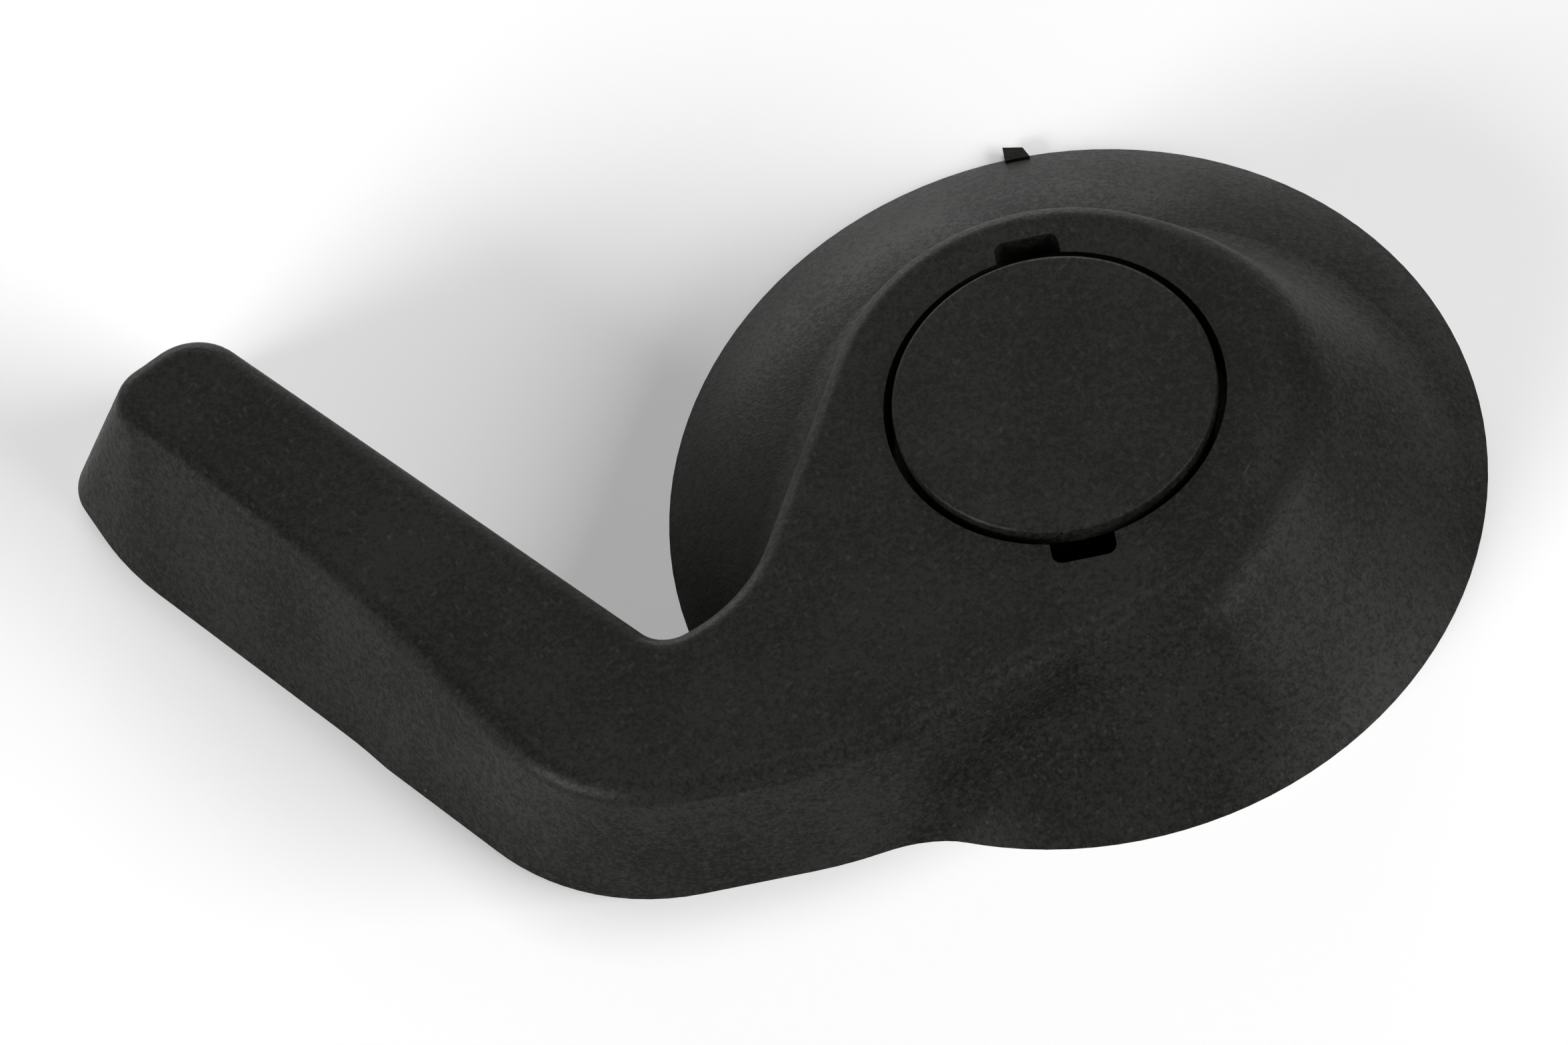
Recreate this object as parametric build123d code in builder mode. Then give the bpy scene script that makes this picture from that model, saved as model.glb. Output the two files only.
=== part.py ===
"""Seat recline knob: a one-piece moulded lever with a domed dish, a raised hub and a bent arm,
and a round cap over its fixing screw. Millimetres, +Z out of the face, the origin on the hub
axis in the plane of the back edge, the arm's tip towards -X."""
import os
from math import atan2, cos, degrees, hypot, radians, sin, sqrt, tan

from build123d import *

os.makedirs("parts", exist_ok=True)

# Main sizes
rim_radius = 45.0          # outer edge of the dish
face_height = 19.8         # flat face of hub and arm above the back plane
face_round = 2.4           # roundover between the face and the walls
valley_round = 7.0         # hollow between the walls and the dish
wall = 2.5                 # skin thickness
root = 3.0                 # the shapes start this far below the back plane and are cut off there

# Hub and dish: seen in section the dome is an arc that starts level at the edge of the recess
hub_radius = 25.4
hub_draft = 3.0            # degrees
hub_step = 8.8             # the face stands this far above the top of the dome
hub_ring = 6.7             # flat face between the recess and the hub's edge

# Cap recess
recess_radius = hub_radius - hub_ring
notch_ring = 2.3
notch_reach = recess_radius + notch_ring
notch_width = 7.1
notch_depth = 4.0
notch_corner = 1.2

# Cap
cap_gap = 1.0              # visible gap round the disc
cap_proud = 1.0
cap_thickness = 2.4
cap_edge = 0.5
guide_height = 4.0         # the ring on the recess floor that guides the plug
guide_wall = 1.8
guide_inset = 4.2
guide_bore = recess_radius - guide_inset
fit_gap = 0.2              # sliding clearance of the plug
seat_gap = 0.2             # the plug ends this far above the floor
skirt_wall = 1.6
slot_width = 1.6
slot_depth = 4.5
slot_count = 4

# Spindle socket and fixing screw
boss_radius = 9.5
socket_radius = 5.0
socket_floor = 2.5         # left above the socket
key_width = 2.4            # slot for the spindle's key
key_reach = 6.4
screw_hole_radius = 2.3
screw_seat_radius = 5.0
screw_seat_depth = 0.8

# Ribs
rib = 1.6
rib_setback = 1.2
rib_count = 6
rib_start = 15.0           # azimuth of the first rib, degrees
arm_rib_margin = 1.0
arm_rib_first = rim_radius + arm_rib_margin    # along the arm from the hub axis
arm_rib_pitch = 12.0
arm_rib_count = 3
arm_direction = 128.5      # degrees

# Gate stub on the rim, torn off thicker on the left
stub_left = 0.9
stub_right = 1.9
stub_taper = 0.6
stub_reach = 0.8
stub_short = 0.3
stub_root = 1.0
stub_height = 1.4

# Arm: how far its sides stand from the hub axis at the face, and how much further at the back
arm_gap = 3.7              # between the rim and the line of the arm's inner side
arm_width = 16.4
tip_run = 25.4
bottom_inset = 5.1
arm_inner = rim_radius + arm_gap
arm_outer = arm_inner + arm_width
arm_tip = rim_radius + tip_run
arm_bottom = rim_radius - bottom_inset
inner_lean = -1.0
outer_lean = 7.3
tip_lean = 6.6
bottom_lean = 0.8
arm_offset = arm_inner + arm_width / 2 + outer_lean / 6

# Short sides between the long ones, by how far each cuts off their corner, or fills it up
saddle_fill = 7.3
saddle_fill_back = 6.6
cheek_cut = 1.6
cheek_cut_back = 4.3
lower_fill = 6.1
lower_fill_back = 0.3
rise_cut = 9.9
rise_cut_back = 9.5

# Corner radii, at the face and at the back plane
waist_round = 18.0
waist_round_back = 17.0
saddle_round = 4.0
saddle_round_back = 3.0
inner_round = 6.5
inner_round_back = 7.0
tip_round = 4.6
tip_round_back = 6.0
cheek_round = 5.0
cheek_round_back = 35.0
outer_round = 250.0
lower_round = 21.0
lower_round_back = 27.0
bottom_round = 55.0
bottom_round_back = 50.0
rise_round = 12.0

# Ramp that carries the hub down to the rim: its wall leans out until it meets the dome near the
# rim, between two azimuths in degrees, and swings in to the hub's own wall beyond them
ramp_inset = 2.2           # from the rim to where the ramp meets the dome
ramp_start = 68.0
ramp_full = -22.0
ramp_fade = -58.0
ramp_end = -104.0
ramp_count = 21
ramp_round = 9.0           # the face rolls over into the ramp with this radius
ramp_bulge = 1.8           # so the ramp's edge stands out this far from the hub's
ramp_valley = 36.0         # the hollow at its foot widens to this radius
ramp_sink = 0.03           # its surface lies this far inside the shapes that it follows
ramp_tuck = 0.35           # and its end at the arm this much further
ramp_cover = 5.0

hub_radius_back = hub_radius + face_height * tan(radians(hub_draft))
recess_floor = face_height - hub_step      # the recess goes down to the top of the dome
floor_back = recess_floor - wall
dome_width = rim_radius - recess_radius
dome_arc = (dome_width**2 + recess_floor**2) / (2 * recess_floor)
dome_centre = recess_floor - dome_arc


def meet(one, two):
    """Point where two sides cross, each an outward direction and a distance from the axis."""
    (a, p), (b, q) = ((radians(s[0]), s[1]) for s in (one, two))
    turn = sin(b - a)
    return (p * sin(b) - q * sin(a)) / turn, (q * cos(a) - p * cos(b)) / turn


def between(one, two, angle, cut):
    """Side of a direction that cuts off the corner of two others, or fills it where cut is below 0."""
    x, y = meet(one, two)
    return angle, x * cos(radians(angle)) + y * sin(radians(angle)) - cut


def plan_sides(hub, lean, angles, cuts):
    """Sides of the outline in order; lean is the share of each wall's lean that is taken up."""
    waist, shoulder = (153.5, hub), (325.0, hub)
    inner = (angles[0], -arm_inner - lean * inner_lean)
    tip = (118.0, arm_tip + lean * tip_lean)
    outer = (218.5, arm_outer + lean * outer_lean)
    bottom = (270.0, arm_bottom + lean * bottom_lean)
    return {
        "waist": waist,
        "saddle": between(waist, inner, 110.0, -cuts[0]),
        "inner": inner,
        "tip": tip,
        "cheek": between(tip, outer, 202.0, cuts[1]),
        "outer": outer,
        "lower": between(outer, bottom, angles[1], -cuts[2]),
        "bottom": bottom,
        "rise": between(bottom, shoulder, 287.6, cuts[3]),
        "shoulder": shoulder,
    }


sides_face = plan_sides(hub_radius, 0, (40.4, 210.4), (saddle_fill, cheek_cut, lower_fill, rise_cut))
sides_back = plan_sides(hub_radius_back, 1, (38.2, 218.0),
                        (saddle_fill_back, cheek_cut_back, lower_fill_back, rise_cut_back))
corners = {
    "waist": (waist_round, waist_round_back),
    "saddle": (saddle_round, saddle_round_back),
    "inner": (inner_round, inner_round_back),
    "tip": (tip_round, tip_round_back),
    "cheek": (cheek_round, cheek_round_back),
    "outer": (outer_round, outer_round),
    "lower": (lower_round, lower_round_back),
    "bottom": (bottom_round, bottom_round_back),
    "rise": (rise_round, rise_round),
}


def dome_height(radius, skin=0.0):
    """Height of the dome, or of its inner skin, at a distance from the axis."""
    return dome_centre + sqrt((dome_arc - skin) ** 2 - (radius - recess_radius) ** 2)


def dome_radius(height, skin=0.0):
    """Distance from the axis where the dome, or its inner skin, has a height."""
    return recess_radius + sqrt((dome_arc - skin) ** 2 - (height - dome_centre) ** 2)


def on_dome(point):
    """Whether a point lies on the dome, off its bottom edge."""
    radius = hypot(point.X, point.Y)
    return (point.Z > 0.01 - root and radius < rim_radius + root
            and abs(point.Z - dome_height(radius)) < 0.02)


def side_at(name, drop, inset=0.0):
    """Outward direction and distance of a side at a depth below the face."""
    (angle_0, far_0), (angle_1, far_1) = sides_face[name], sides_back[name]
    t = drop / face_height
    return angle_0 + (angle_1 - angle_0) * t, far_0 + (far_1 - far_0) * t - inset


def corner_arc(one, two, radius, inset):
    """Start, middle and end of the arc that rounds the corner from one side to the next."""
    bulge = 1 if sin(radians(two[0] - one[0])) > 0 else -1
    radius = max(radius - bulge * inset, 0.6) * bulge
    x, y = meet((one[0], one[1] - radius), (two[0], two[1] - radius))
    middle = radians((one[0] + two[0]) / 2)
    return [(x + radius * cos(a), y + radius * sin(a))
            for a in (radians(one[0]), middle, radians(two[0]))]


def round_side(names, drop, inset, pen):
    """Draws straight sides and the arcs between them, from the pen to the last side's start."""
    for name, following in zip(names, names[1:]):
        one, two = side_at(name, drop, inset), side_at(following, drop, inset)
        radius_0, radius_1 = corners[name]
        radius = radius_0 + (radius_1 - radius_0) * drop / face_height
        start, middle, end = corner_arc(one, two, radius, inset)
        Line(pen, start)
        ThreePointArc(start, middle, end)
        pen = end
    return pen


def hub_outline(drop, inset=0.0):
    """Draws the hub's arc and returns its end on the waist side and its start."""
    hub = hub_radius + drop * tan(radians(hub_draft)) - inset
    waist, shoulder = side_at("waist", drop)[0], side_at("shoulder", drop)[0]
    CenterArc((0, 0), hub, shoulder - 360, waist + 360 - shoulder)
    return [(hub * cos(radians(a)), hub * sin(radians(a))) for a in (waist, shoulder)]


def plan_outline(drop, inset=0.0):
    """Draws the outline of hub and arm at a depth below the face."""
    pen, goal = hub_outline(drop, inset)
    Line(round_side(list(sides_face), drop, inset, pen), goal)


def core_outline(drop):
    """Draws the outline of the hub alone, its sides run out straight past the dish."""
    pen, goal = hub_outline(drop)
    angle, far = side_at("waist", drop)
    run = sqrt((rim_radius + root + 1.2 * valley_round) ** 2 - far**2)
    past = (pen[0] - run * sin(radians(angle)), pen[1] + run * cos(radians(angle)))
    radius_0, radius_1 = corners["bottom"]
    radius = radius_0 + (radius_1 - radius_0) * drop / face_height
    start = corner_arc(side_at("bottom", drop), side_at("rise", drop), radius, 0.0)[0]
    corner = (start[0] - root, start[1])
    Polyline(pen, past, corner)
    Line(round_side(["bottom", "rise", "shoulder"], drop, 0.0, corner), goal)


def hub_edge(azimuth):
    """Distance of the face's edge from the axis on the ramp's side."""
    shoulder, rise = sides_face["shoulder"], sides_face["rise"]
    if azimuth > shoulder[0] - 360:
        return hub_radius
    ray = Vector(cos(radians(azimuth)), sin(radians(azimuth)))
    centre = Vector(meet((rise[0], rise[1] - rise_round), (shoulder[0], shoulder[1] - rise_round)))
    far = centre.dot(ray) + sqrt(max(rise_round**2 - centre.cross(ray).length ** 2, 0))
    turned = ray * far - centre
    if rise[0] - 360 < degrees(atan2(turned.Y, turned.X)) < shoulder[0] - 360:
        return far
    return min(side[1] / cos(radians(azimuth - side[0])) for side in (shoulder, rise))


def smooth(share):
    """Goes from 0 to 1 and levels off at both ends."""
    share = min(max(share, 0.0), 1.0)
    return share * share * (3 - 2 * share)


def section_plane(azimuth):
    """Plane through the axis, its X outward along an azimuth and its Y up."""
    a = radians(azimuth)
    return Plane(origin=(0, 0, 0), x_dir=(cos(a), sin(a), 0), z_dir=(sin(a), -cos(a), 0))


def ramp_section(azimuth):
    """Draws the ramp in its section plane: level top, rounded edge, straight wall, hollow, dome."""
    rising = smooth((ramp_start - azimuth) / (ramp_start - ramp_full))
    ending = smooth((azimuth - ramp_end) / (ramp_fade - ramp_end))
    fill = rising * ending
    sink = ramp_sink + ramp_tuck * (1 - ending)
    top = face_height - sink
    arc = dome_arc - sink
    edge = hub_edge(azimuth) - sink + ramp_bulge * fill
    own = edge + (face_height - dome_height(edge)) * tan(radians(hub_draft))
    foot = own + (rim_radius - ramp_inset - own) * fill
    away, down = foot - edge, top - dome_height(foot, sink)
    length = hypot(away, down)
    along = Vector(away / length, -down / length)
    out = Vector(down / length, away / length)
    corner, middle = Vector(edge, top), Vector(recess_radius, dome_centre)
    # Edge: a circle below the top and inside the wall
    crest_round = face_round + (ramp_round - face_round) * fill
    crest = Vector(edge - crest_round * (1 - out.Y) / out.X, top - crest_round)
    crest_mid = crest + (out + Vector(0, 1)).normalized() * crest_round
    # Hollow: a circle outside the wall and outside the dome
    hollow_round = valley_round + (ramp_valley - valley_round) * fill
    start = corner + out * hollow_round - middle
    lean = start.dot(along)
    reach = -lean - sqrt(lean**2 - start.dot(start) + (arc + hollow_round) ** 2)
    valley = middle + start + along * reach
    inward = (middle - valley).normalized()
    valley_mid = valley + (inward - out).normalized() * hollow_round
    valley_end = valley + inward * hollow_round
    low = Vector(recess_radius + sqrt(arc**2 - (root + dome_centre) ** 2), -root)
    half = (valley_end + low) / 2 - middle
    inner = edge - ramp_cover
    Line((inner, top), (crest.X, top))
    ThreePointArc((crest.X, top), crest_mid, crest + out * crest_round)
    Line(crest + out * crest_round, valley - out * hollow_round)
    ThreePointArc(valley - out * hollow_round, valley_mid, valley_end)
    ThreePointArc(valley_end, middle + half.normalized() * arc, low)
    Polyline(low, (inner, -root), (inner, top))


# Outer form: the dome and the hub with the hollow between them, then the arm, then the roundover
with BuildPart() as form:
    with BuildSketch(Plane.XZ):
        with BuildLine():
            low, high = (dome_radius(-root), -root), (recess_radius, recess_floor)
            half = (dome_radius(high[1] / 2), high[1] / 2)
            ThreePointArc(low, half, high)
            Polyline(high, (0, high[1]), (0, -root), low)
        make_face()
    revolve(axis=Axis.Z)
    for drop in (0, face_height + root):
        with BuildSketch(Plane.XY.offset(face_height - drop)):
            with BuildLine():
                core_outline(drop)
            make_face()
    loft(ruled=True)
    fillet([e for e in form.edges() if all(on_dome(e @ s) for s in (0.2, 0.5, 0.8))], valley_round)
    for drop in (0, face_height + root):
        with BuildSketch(Plane.XY.offset(face_height - drop)):
            with BuildLine():
                plan_outline(drop)
            make_face()
    loft(ruled=True)
    fillet(form.faces().sort_by(Axis.Z)[-1].outer_wire().edges(), face_round)

# Ramp that carries the hub's edge down into the dish
with BuildPart() as ramp:
    for station in range(ramp_count):
        azimuth = ramp_start + (ramp_end - ramp_start) * station / (ramp_count - 1)
        with BuildSketch(section_plane(azimuth)):
            with BuildLine():
                ramp_section(azimuth)
            make_face()
    loft()

# Space behind the skin: under the dome and along the arm, clear of the cap's recess
with BuildPart() as hollow:
    for drop in (wall, face_height + root):
        with BuildSketch(Plane.XY.offset(face_height - drop)):
            with BuildLine():
                plan_outline(drop, wall)
            make_face()
    loft(ruled=True)
    with BuildSketch(Plane.XY.offset(floor_back)):
        Circle(hub_radius)
    extrude(amount=face_height, mode=Mode.SUBTRACT)
    with BuildSketch(Plane.XZ):
        with BuildLine():
            low, high = (dome_radius(-root, wall), -root), (recess_radius, floor_back)
            half = (dome_radius(high[1] / 2, wall), high[1] / 2)
            ThreePointArc(low, half, high)
            Polyline(high, (0, high[1]), (0, -root), low)
        make_face()
    revolve(axis=Axis.Z)

# Ribs in that space: radial ones under the dish, cross ones in the arm
with BuildPart() as ribs:
    with BuildSketch(Plane.XY.offset(rib_setback)):
        with PolarLocations(0, rib_count, start_angle=rib_start):
            Rectangle(rim_radius, rib, align=(Align.MIN, Align.CENTER))
    extrude(amount=face_height)
    along = Plane(origin=(0, 0, rib_setback), x_dir=(cos(radians(arm_direction)), sin(radians(arm_direction)), 0))
    with BuildSketch(along):
        with Locations(*[(arm_rib_first + i * arm_rib_pitch, arm_offset) for i in range(arm_rib_count)]):
            Rectangle(rib, 2 * arm_offset / 3)
    extrude(amount=face_height)
    add(hollow.part, mode=Mode.INTERSECT)

with BuildPart() as lever_body:
    add(form.part)
    add(ramp.part)
    add(hollow.part, mode=Mode.SUBTRACT)
    add(ribs.part)
    # Boss, cap recess with its guide ring, pry notches, screw hole and spindle socket
    with BuildSketch(Plane.XY):
        Circle(boss_radius)
    extrude(amount=recess_floor - wall / 2)
    with BuildSketch(Plane.XY.offset(recess_floor)):
        Circle(recess_radius)
    extrude(amount=face_height, mode=Mode.SUBTRACT)
    with BuildSketch(Plane.XY.offset(face_height)) as notches:
        Rectangle(notch_width, 2 * notch_reach)
        fillet(notches.vertices(), notch_corner)
    extrude(amount=-notch_depth, mode=Mode.SUBTRACT)
    with BuildSketch(Plane.XY.offset(recess_floor)):
        Circle(guide_bore + guide_wall)
        Circle(guide_bore, mode=Mode.SUBTRACT)
    extrude(amount=guide_height)
    with BuildSketch(Plane.XY.offset(recess_floor - screw_seat_depth)):
        Circle(screw_seat_radius)
    extrude(amount=screw_seat_depth, mode=Mode.SUBTRACT)
    with BuildSketch(Plane.XY):
        Circle(screw_hole_radius)
    extrude(amount=recess_floor, mode=Mode.SUBTRACT)
    with BuildSketch(Plane.XY):
        Circle(socket_radius)
        Rectangle(key_width, key_reach, align=(Align.CENTER, Align.MIN))
    extrude(amount=recess_floor - socket_floor, mode=Mode.SUBTRACT)
    split(bisect_by=Plane.XY)
    # Gate stub
    with BuildSketch(Plane.XY):
        with BuildLine():
            Polyline((-stub_left, rim_radius - stub_root), (-stub_left, rim_radius + stub_reach),
                     (stub_right - stub_taper, rim_radius + stub_short),
                     (stub_right, rim_radius - stub_root), close=True)
        make_face()
    extrude(amount=stub_height)
lever_body.part.label = "lever_body"
export_step(lever_body.part, "parts/lever_body.step")

# Cap: a disc with a slotted skirt below it
disc_radius = recess_radius - cap_gap
disc_bottom = face_height + cap_proud - cap_thickness
skirt_radius = guide_bore - fit_gap
with BuildPart() as cap:
    with BuildSketch(Plane.XY.offset(disc_bottom)):
        Circle(disc_radius)
    extrude(amount=cap_thickness)
    fillet(cap.faces().sort_by(Axis.Z)[-1].edges(), cap_edge)
    with BuildSketch(Plane.XY.offset(recess_floor + seat_gap)):
        Circle(skirt_radius)
        Circle(skirt_radius - skirt_wall, mode=Mode.SUBTRACT)
        with PolarLocations(0, slot_count):
            Rectangle(2 * skirt_radius, slot_width, align=(Align.MIN, Align.CENTER), mode=Mode.SUBTRACT)
    extrude(amount=slot_depth)
    with BuildSketch(Plane.XY.offset(recess_floor + seat_gap + slot_depth)):
        Circle(skirt_radius)
        Circle(skirt_radius - skirt_wall, mode=Mode.SUBTRACT)
    extrude(amount=disc_bottom - recess_floor - seat_gap - slot_depth)
cap.part.label = "cap"
export_step(cap.part, "parts/cap.step")

for piece in (lever_body, cap):
    print(piece.part.label, round(piece.part.volume), "mm3", "valid" if piece.part.is_valid else "not valid")
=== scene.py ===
"""Seat recline knob: a moulded lever with a domed dish, a raised hub and a bent arm, and a round
cap over its fixing screw, lying on the back edge of the dish on a pale table. Metres, +Z out of
the face, the origin on the hub axis in the plane of the back edge, the arm's tip towards -X."""
from math import cos, radians, sin

import bpy
from mathutils import Matrix, Vector

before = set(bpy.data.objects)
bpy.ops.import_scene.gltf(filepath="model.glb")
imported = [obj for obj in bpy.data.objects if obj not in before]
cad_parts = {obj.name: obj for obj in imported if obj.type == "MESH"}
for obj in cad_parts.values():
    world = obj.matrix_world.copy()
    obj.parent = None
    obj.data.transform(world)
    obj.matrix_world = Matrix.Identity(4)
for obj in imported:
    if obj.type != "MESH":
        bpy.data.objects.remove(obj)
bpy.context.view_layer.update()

# Viewpoint: a long lens on the arm's side of the hub, looking down 33 degrees off the vertical,
# the camera rolled so that the arm drops away to the left.
LENS, SENSOR = 306.12, 36.0
NEAREST_SEEN, FURTHEST_SEEN = 0.1, 60.0
VIEW_TURN, VIEW_TILT, VIEW_ROLL = radians(4.0), radians(32.915), radians(-14.781)
VIEW_FROM = Vector((0.023212, -0.786645, 1.224251))

camera = bpy.data.objects.new("camera", bpy.data.cameras.new("camera"))
camera.data.lens, camera.data.sensor_width = LENS, SENSOR
camera.data.clip_start, camera.data.clip_end = NEAREST_SEEN, FURTHEST_SEEN
camera.matrix_world = (Matrix.Translation(VIEW_FROM) @ Matrix.Rotation(VIEW_TURN, 4, "Z")
                       @ Matrix.Rotation(VIEW_TILT, 4, "X") @ Matrix.Rotation(VIEW_ROLL, 4, "Z"))
bpy.context.scene.collection.objects.link(camera)
bpy.context.scene.camera = camera
bpy.context.scene.view_settings.view_transform = "Standard"


# Lever: one moulding in black filled plastic, taken from a spark-eroded tool that leaves a fine
# dull grain on every outer face. Handling has left pale flecks, short scratches and some dust.
class Signal:
    """A socket of a material's node tree. Sums on signals add Math nodes; add() makes any other."""

    def __init__(self, tree, socket):
        self.tree, self.socket = tree, socket

    def add(self, kind, settings=None, inputs=None, out=0):
        """Makes a node of a type: its settings first, then the values or links of its inputs."""
        node = self.tree.nodes.new("ShaderNode" + kind)
        for name, value in (settings or {}).items():
            setattr(node, name, value)
        for name, value in (inputs or {}).items():
            if isinstance(value, Signal):
                self.tree.links.new(value.socket, node.inputs[name])
            else:
                node.inputs[name].default_value = value
        return Signal(self.tree, node.outputs[out])

    def maths(self, operation, one, other):
        return self.add("Math", {"operation": operation}, {0: one, 1: other})

    def __add__(self, other):
        return self.maths("ADD", self, other)

    def __sub__(self, other):
        return self.maths("SUBTRACT", self, other)

    def __rsub__(self, other):
        return self.maths("SUBTRACT", other, self)

    def __mul__(self, other):
        return self.maths("MULTIPLY", self, other)

    __radd__, __rmul__ = __add__, __mul__

    def feed(self, shader, name):
        """Links the signal to an input of the shader."""
        self.tree.links.new(self.socket, shader.inputs[name])


def new_finish(name):
    """An empty material with a plain surface shader; returns it, the shader and a place signal."""
    material = bpy.data.materials.new(name)
    material.use_nodes = True
    tree = material.node_tree
    place = tree.nodes.new("ShaderNodeTexCoord").outputs["Object"]
    return material, tree.nodes["Principled BSDF"], Signal(tree, place)


def mix(share, low, high):
    """Colour that runs from low to high as share goes from 0 to 1."""
    return share.add("Mix", {"data_type": "RGBA"}, {0: share, 6: low, 7: high}, out=2)


def turned(place, turn, stretch):
    """Place in axes turned about +Z by turn degrees, divided by stretch along each of them."""
    return place.add("Mapping", {"vector_type": "TEXTURE"},
                     {0: place, 2: (0.0, 0.0, radians(turn)), 3: stretch})


def noise(place, grain):
    """Noise from 0 to 1 whose lumps are about grain metres across."""
    return place.add("TexNoise", None, {"Vector": place, "Scale": 1.0 / grain, "Detail": 3.0})


def step(value, low, high):
    """0 where value is below low, 1 above high and a smooth slope between them. With high below
    low it falls from 1 to 0."""
    return value.add("MapRange", {"interpolation_type": "SMOOTHSTEP"}, {0: value, 1: low, 2: high})


def specks(place, pitch, size, share):
    """Small spots of a size, one in each cell of a pitch, left in a share of the cells. A spot is
    full to half its size and fades from there to its edge."""
    cells = {"Vector": place, "Scale": 1.0 / pitch}
    spot = step(place.add("TexVoronoi", None, cells), size / pitch, 0.5 * size / pitch)
    lot = place.add("TexVoronoi", None, cells, out=1)
    return spot * step(place.add("SeparateColor", None, {0: lot}), share, share * 0.9)


def marks(place, kinds):
    """Specks of several kinds, each drawn out along a direction of its own, added together."""
    kinds = [specks(turned(place, turn, (1.0, length, 1.0)), pitch, width, share)
             for turn, length, pitch, width, share in kinds]
    return sum(kinds[1:], kinds[0])


# What varies over the plastic, and how much of each is in its tone
CLOUD, CLOUD_PART = 0.013, 0.24
MOTTLE, MOTTLE_PART = 0.0007, 0.36
GRAIN_PART = 0.40
DARKEST, LIGHTEST = 0.40, 0.60

# Each kind of mark: turn in degrees, length over width, pitch, width, share of the cells
FLECKS = ((20.0, 2.2, 0.0008, 0.00024, 0.36), (-55.0, 2.6, 0.0011, 0.00026, 0.40))
SCRATCHES = ((12.0, 9.0, 0.0017, 0.00012, 0.20), (-35.0, 12.0, 0.0021, 0.00012, 0.16))
DUST_PITCH, DUST_SIZE, DUST_SHARE = 0.0070, 0.00022, 0.35
FLECK, FLECK_COVER = (0.030, 0.030, 0.028, 1.0), 0.35
SCRATCH, SCRATCH_COVER = (0.045, 0.045, 0.043, 1.0), 0.5
DUST, DUST_COVER = (0.11, 0.11, 0.105, 1.0), 0.7

ROUGH = 0.50
TONE_POLISH, MARK_ROUGHNESS = -0.10, 0.06
GRAIN_STRENGTH, GRAIN_DEPTH = 0.7, 0.00005
MOTTLE_HEIGHT, SCRATCH_HEIGHT = 0.8, 0.3
PLASTIC_SHEEN = 0.085


def moulded_plastic(name, dark, light, grain):
    """Black plastic with a spark-eroded grain, pale flecks, short scratches and specks of dust.
    Its tone runs from dark to light by a cloud, a mottle and the grain, each a noise."""
    material, shader, place = new_finish(name)
    cloud = noise(place, CLOUD)
    mottle = noise(place, MOTTLE)
    pits = noise(place, grain)
    tone = step(cloud * CLOUD_PART + mottle * MOTTLE_PART + pits * GRAIN_PART, DARKEST, LIGHTEST)
    flecks = marks(place, FLECKS)
    scratches = marks(place, SCRATCHES)
    dust = specks(place, DUST_PITCH, DUST_SIZE, DUST_SHARE)
    colour = mix(tone, dark, light)
    colour = mix(flecks * FLECK_COVER, colour, FLECK)
    colour = mix(scratches * SCRATCH_COVER, colour, SCRATCH)
    colour = mix(dust * DUST_COVER, colour, DUST)
    colour.feed(shader, "Base Color")
    roughness = ROUGH + tone * TONE_POLISH + (flecks + scratches) * MARK_ROUGHNESS
    roughness.feed(shader, "Roughness")
    height = pits + mottle * MOTTLE_HEIGHT - scratches * SCRATCH_HEIGHT
    grained = {"Strength": GRAIN_STRENGTH, "Distance": GRAIN_DEPTH, "Height": height}
    place.add("Bump", None, grained).feed(shader, "Normal")
    shader.inputs["Specular IOR Level"].default_value = PLASTIC_SHEEN
    return material


LEVER_DARK, LEVER_LIGHT = (0.0014, 0.0015, 0.0009, 1.0), (0.0112, 0.0114, 0.0098, 1.0)
LEVER_GRAIN = 0.00034

lever_plastic = moulded_plastic("lever_plastic", LEVER_DARK, LEVER_LIGHT, LEVER_GRAIN)
lever_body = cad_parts["lever_body"]
for slot in lever_body.material_slots:
    slot.material = lever_plastic

# Cap: a round cover in the same plastic that snaps into the hub over the fixing screw. It comes
# from another tool, so its grain is a little finer and its black a shade lighter.
CAP_DARK, CAP_LIGHT = (0.0026, 0.0027, 0.0020, 1.0), (0.0128, 0.0130, 0.0114, 1.0)
CAP_GRAIN = 0.00030

cap_plastic = moulded_plastic("cap_plastic", CAP_DARK, CAP_LIGHT, CAP_GRAIN)
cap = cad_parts["cap"]
for slot in cap.material_slots:
    slot.material = cap_plastic

# Table: a wide white laminate top, matt, that keeps the knob's own soft shadow and runs on past
# the edges of every view.
TABLE_HALF = 12.0
TABLE_WHITE = (0.93, 0.93, 0.93, 1.0)
SEEN_WHITE = (1.0, 1.0, 1.0, 1.0)
TABLE_ROUGH, TABLE_SHEEN = 0.9, 0.1

corners = [(x * TABLE_HALF, y * TABLE_HALF, 0.0) for x, y in ((-1, -1), (1, -1), (1, 1), (-1, 1))]
table_top = bpy.data.meshes.new("table")
table_top.from_pydata(corners, [], [(0, 1, 2, 3)])
table = bpy.data.objects.new("table", table_top)
bpy.context.scene.collection.objects.link(table)


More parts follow.
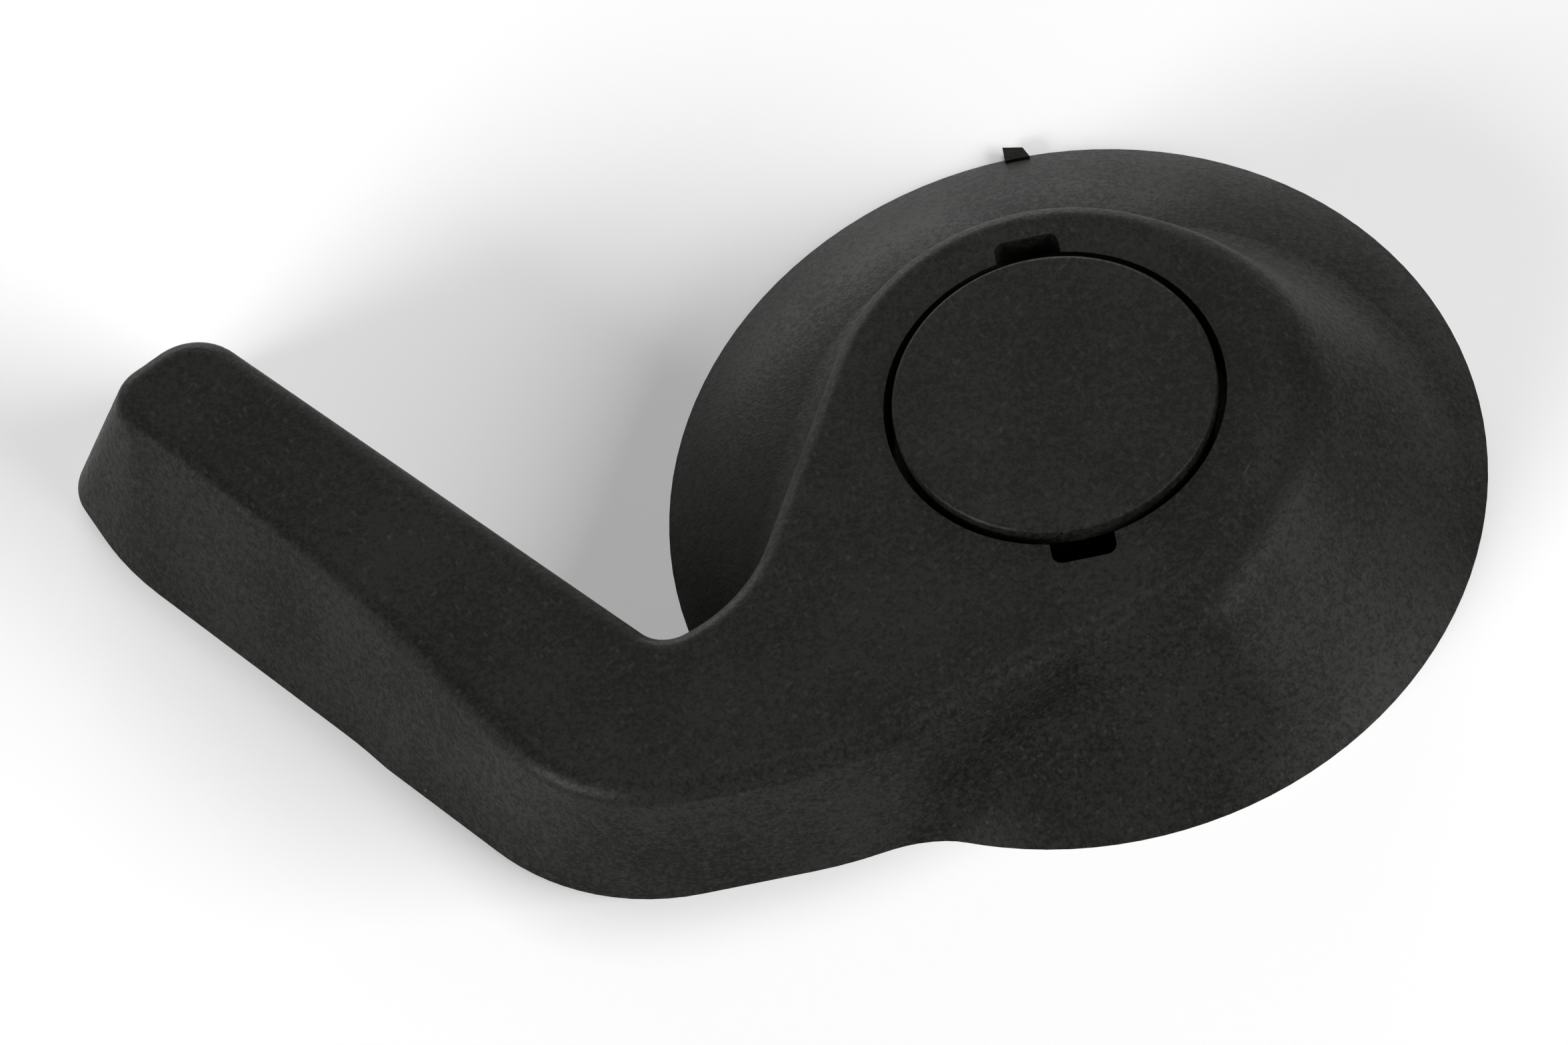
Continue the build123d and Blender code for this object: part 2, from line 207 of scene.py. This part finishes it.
def seen_directly(tree):
    """1 on the camera's own rays and on those that gloss or glass sends on, 0 on all others."""
    ways = tree.nodes.new("ShaderNodeLightPath").outputs
    straight, glossy, through = (Signal(tree, ways[name]) for name in
                                 ("Is Camera Ray", "Is Glossy Ray", "Is Transmission Ray"))
    return straight.maths("MINIMUM", straight + glossy + through, 1.0)


white_table, shader, place = new_finish("white_table")
mix(seen_directly(white_table.node_tree), TABLE_WHITE, SEEN_WHITE).feed(shader, "Base Color")
shader.inputs["Roughness"].default_value = TABLE_ROUGH
shader.inputs["Specular IOR Level"].default_value = TABLE_SHEEN
table_top.materials.append(white_table)

# Studio: a long strip low behind the knob, a box low on its left, a wider one to the right of the
# camera and a square one overhead, in a room that looks white and lights the knob only faintly.
LAMP_DISTANCE = 2.5
SOFT_BOXES = {
    # name: (azimuth, elevation, width, height, power)
    "back_strip": (100.0, 9.0, 2.0, 0.9, 29.0),
    "left_box": (212.0, 15.0, 1.2, 1.2, 70.0),
    "right_box": (330.0, 25.0, 2.0, 1.1, 60.0),
    "overhead_box": (50.0, 75.0, 1.2, 1.2, 20.0),
}
for name, (azimuth, elevation, width, height, power) in SOFT_BOXES.items():
    lamp = bpy.data.lights.new(name, "AREA")
    lamp.shape, lamp.size, lamp.size_y, lamp.energy = "RECTANGLE", width, height, power
    holder = bpy.data.objects.new(name, lamp)
    turn, rise = radians(azimuth), radians(elevation)
    towards = Vector((cos(turn) * cos(rise), sin(turn) * cos(rise), sin(rise)))
    holder.location = towards * LAMP_DISTANCE
    holder.rotation_mode = "QUATERNION"
    holder.rotation_quaternion = (-towards).to_track_quat("-Z", "Y")
    bpy.context.scene.collection.objects.link(holder)

ROOM_LIGHT = 0.04
world = bpy.data.worlds.new("studio")
world.use_nodes = True
bpy.context.scene.world = world
room = world.node_tree.nodes["Background"]
room.inputs["Color"].default_value = (1.0, 1.0, 1.0, 1.0)
(seen_directly(world.node_tree) * (1.0 - ROOM_LIGHT) + ROOM_LIGHT).feed(room, "Strength")
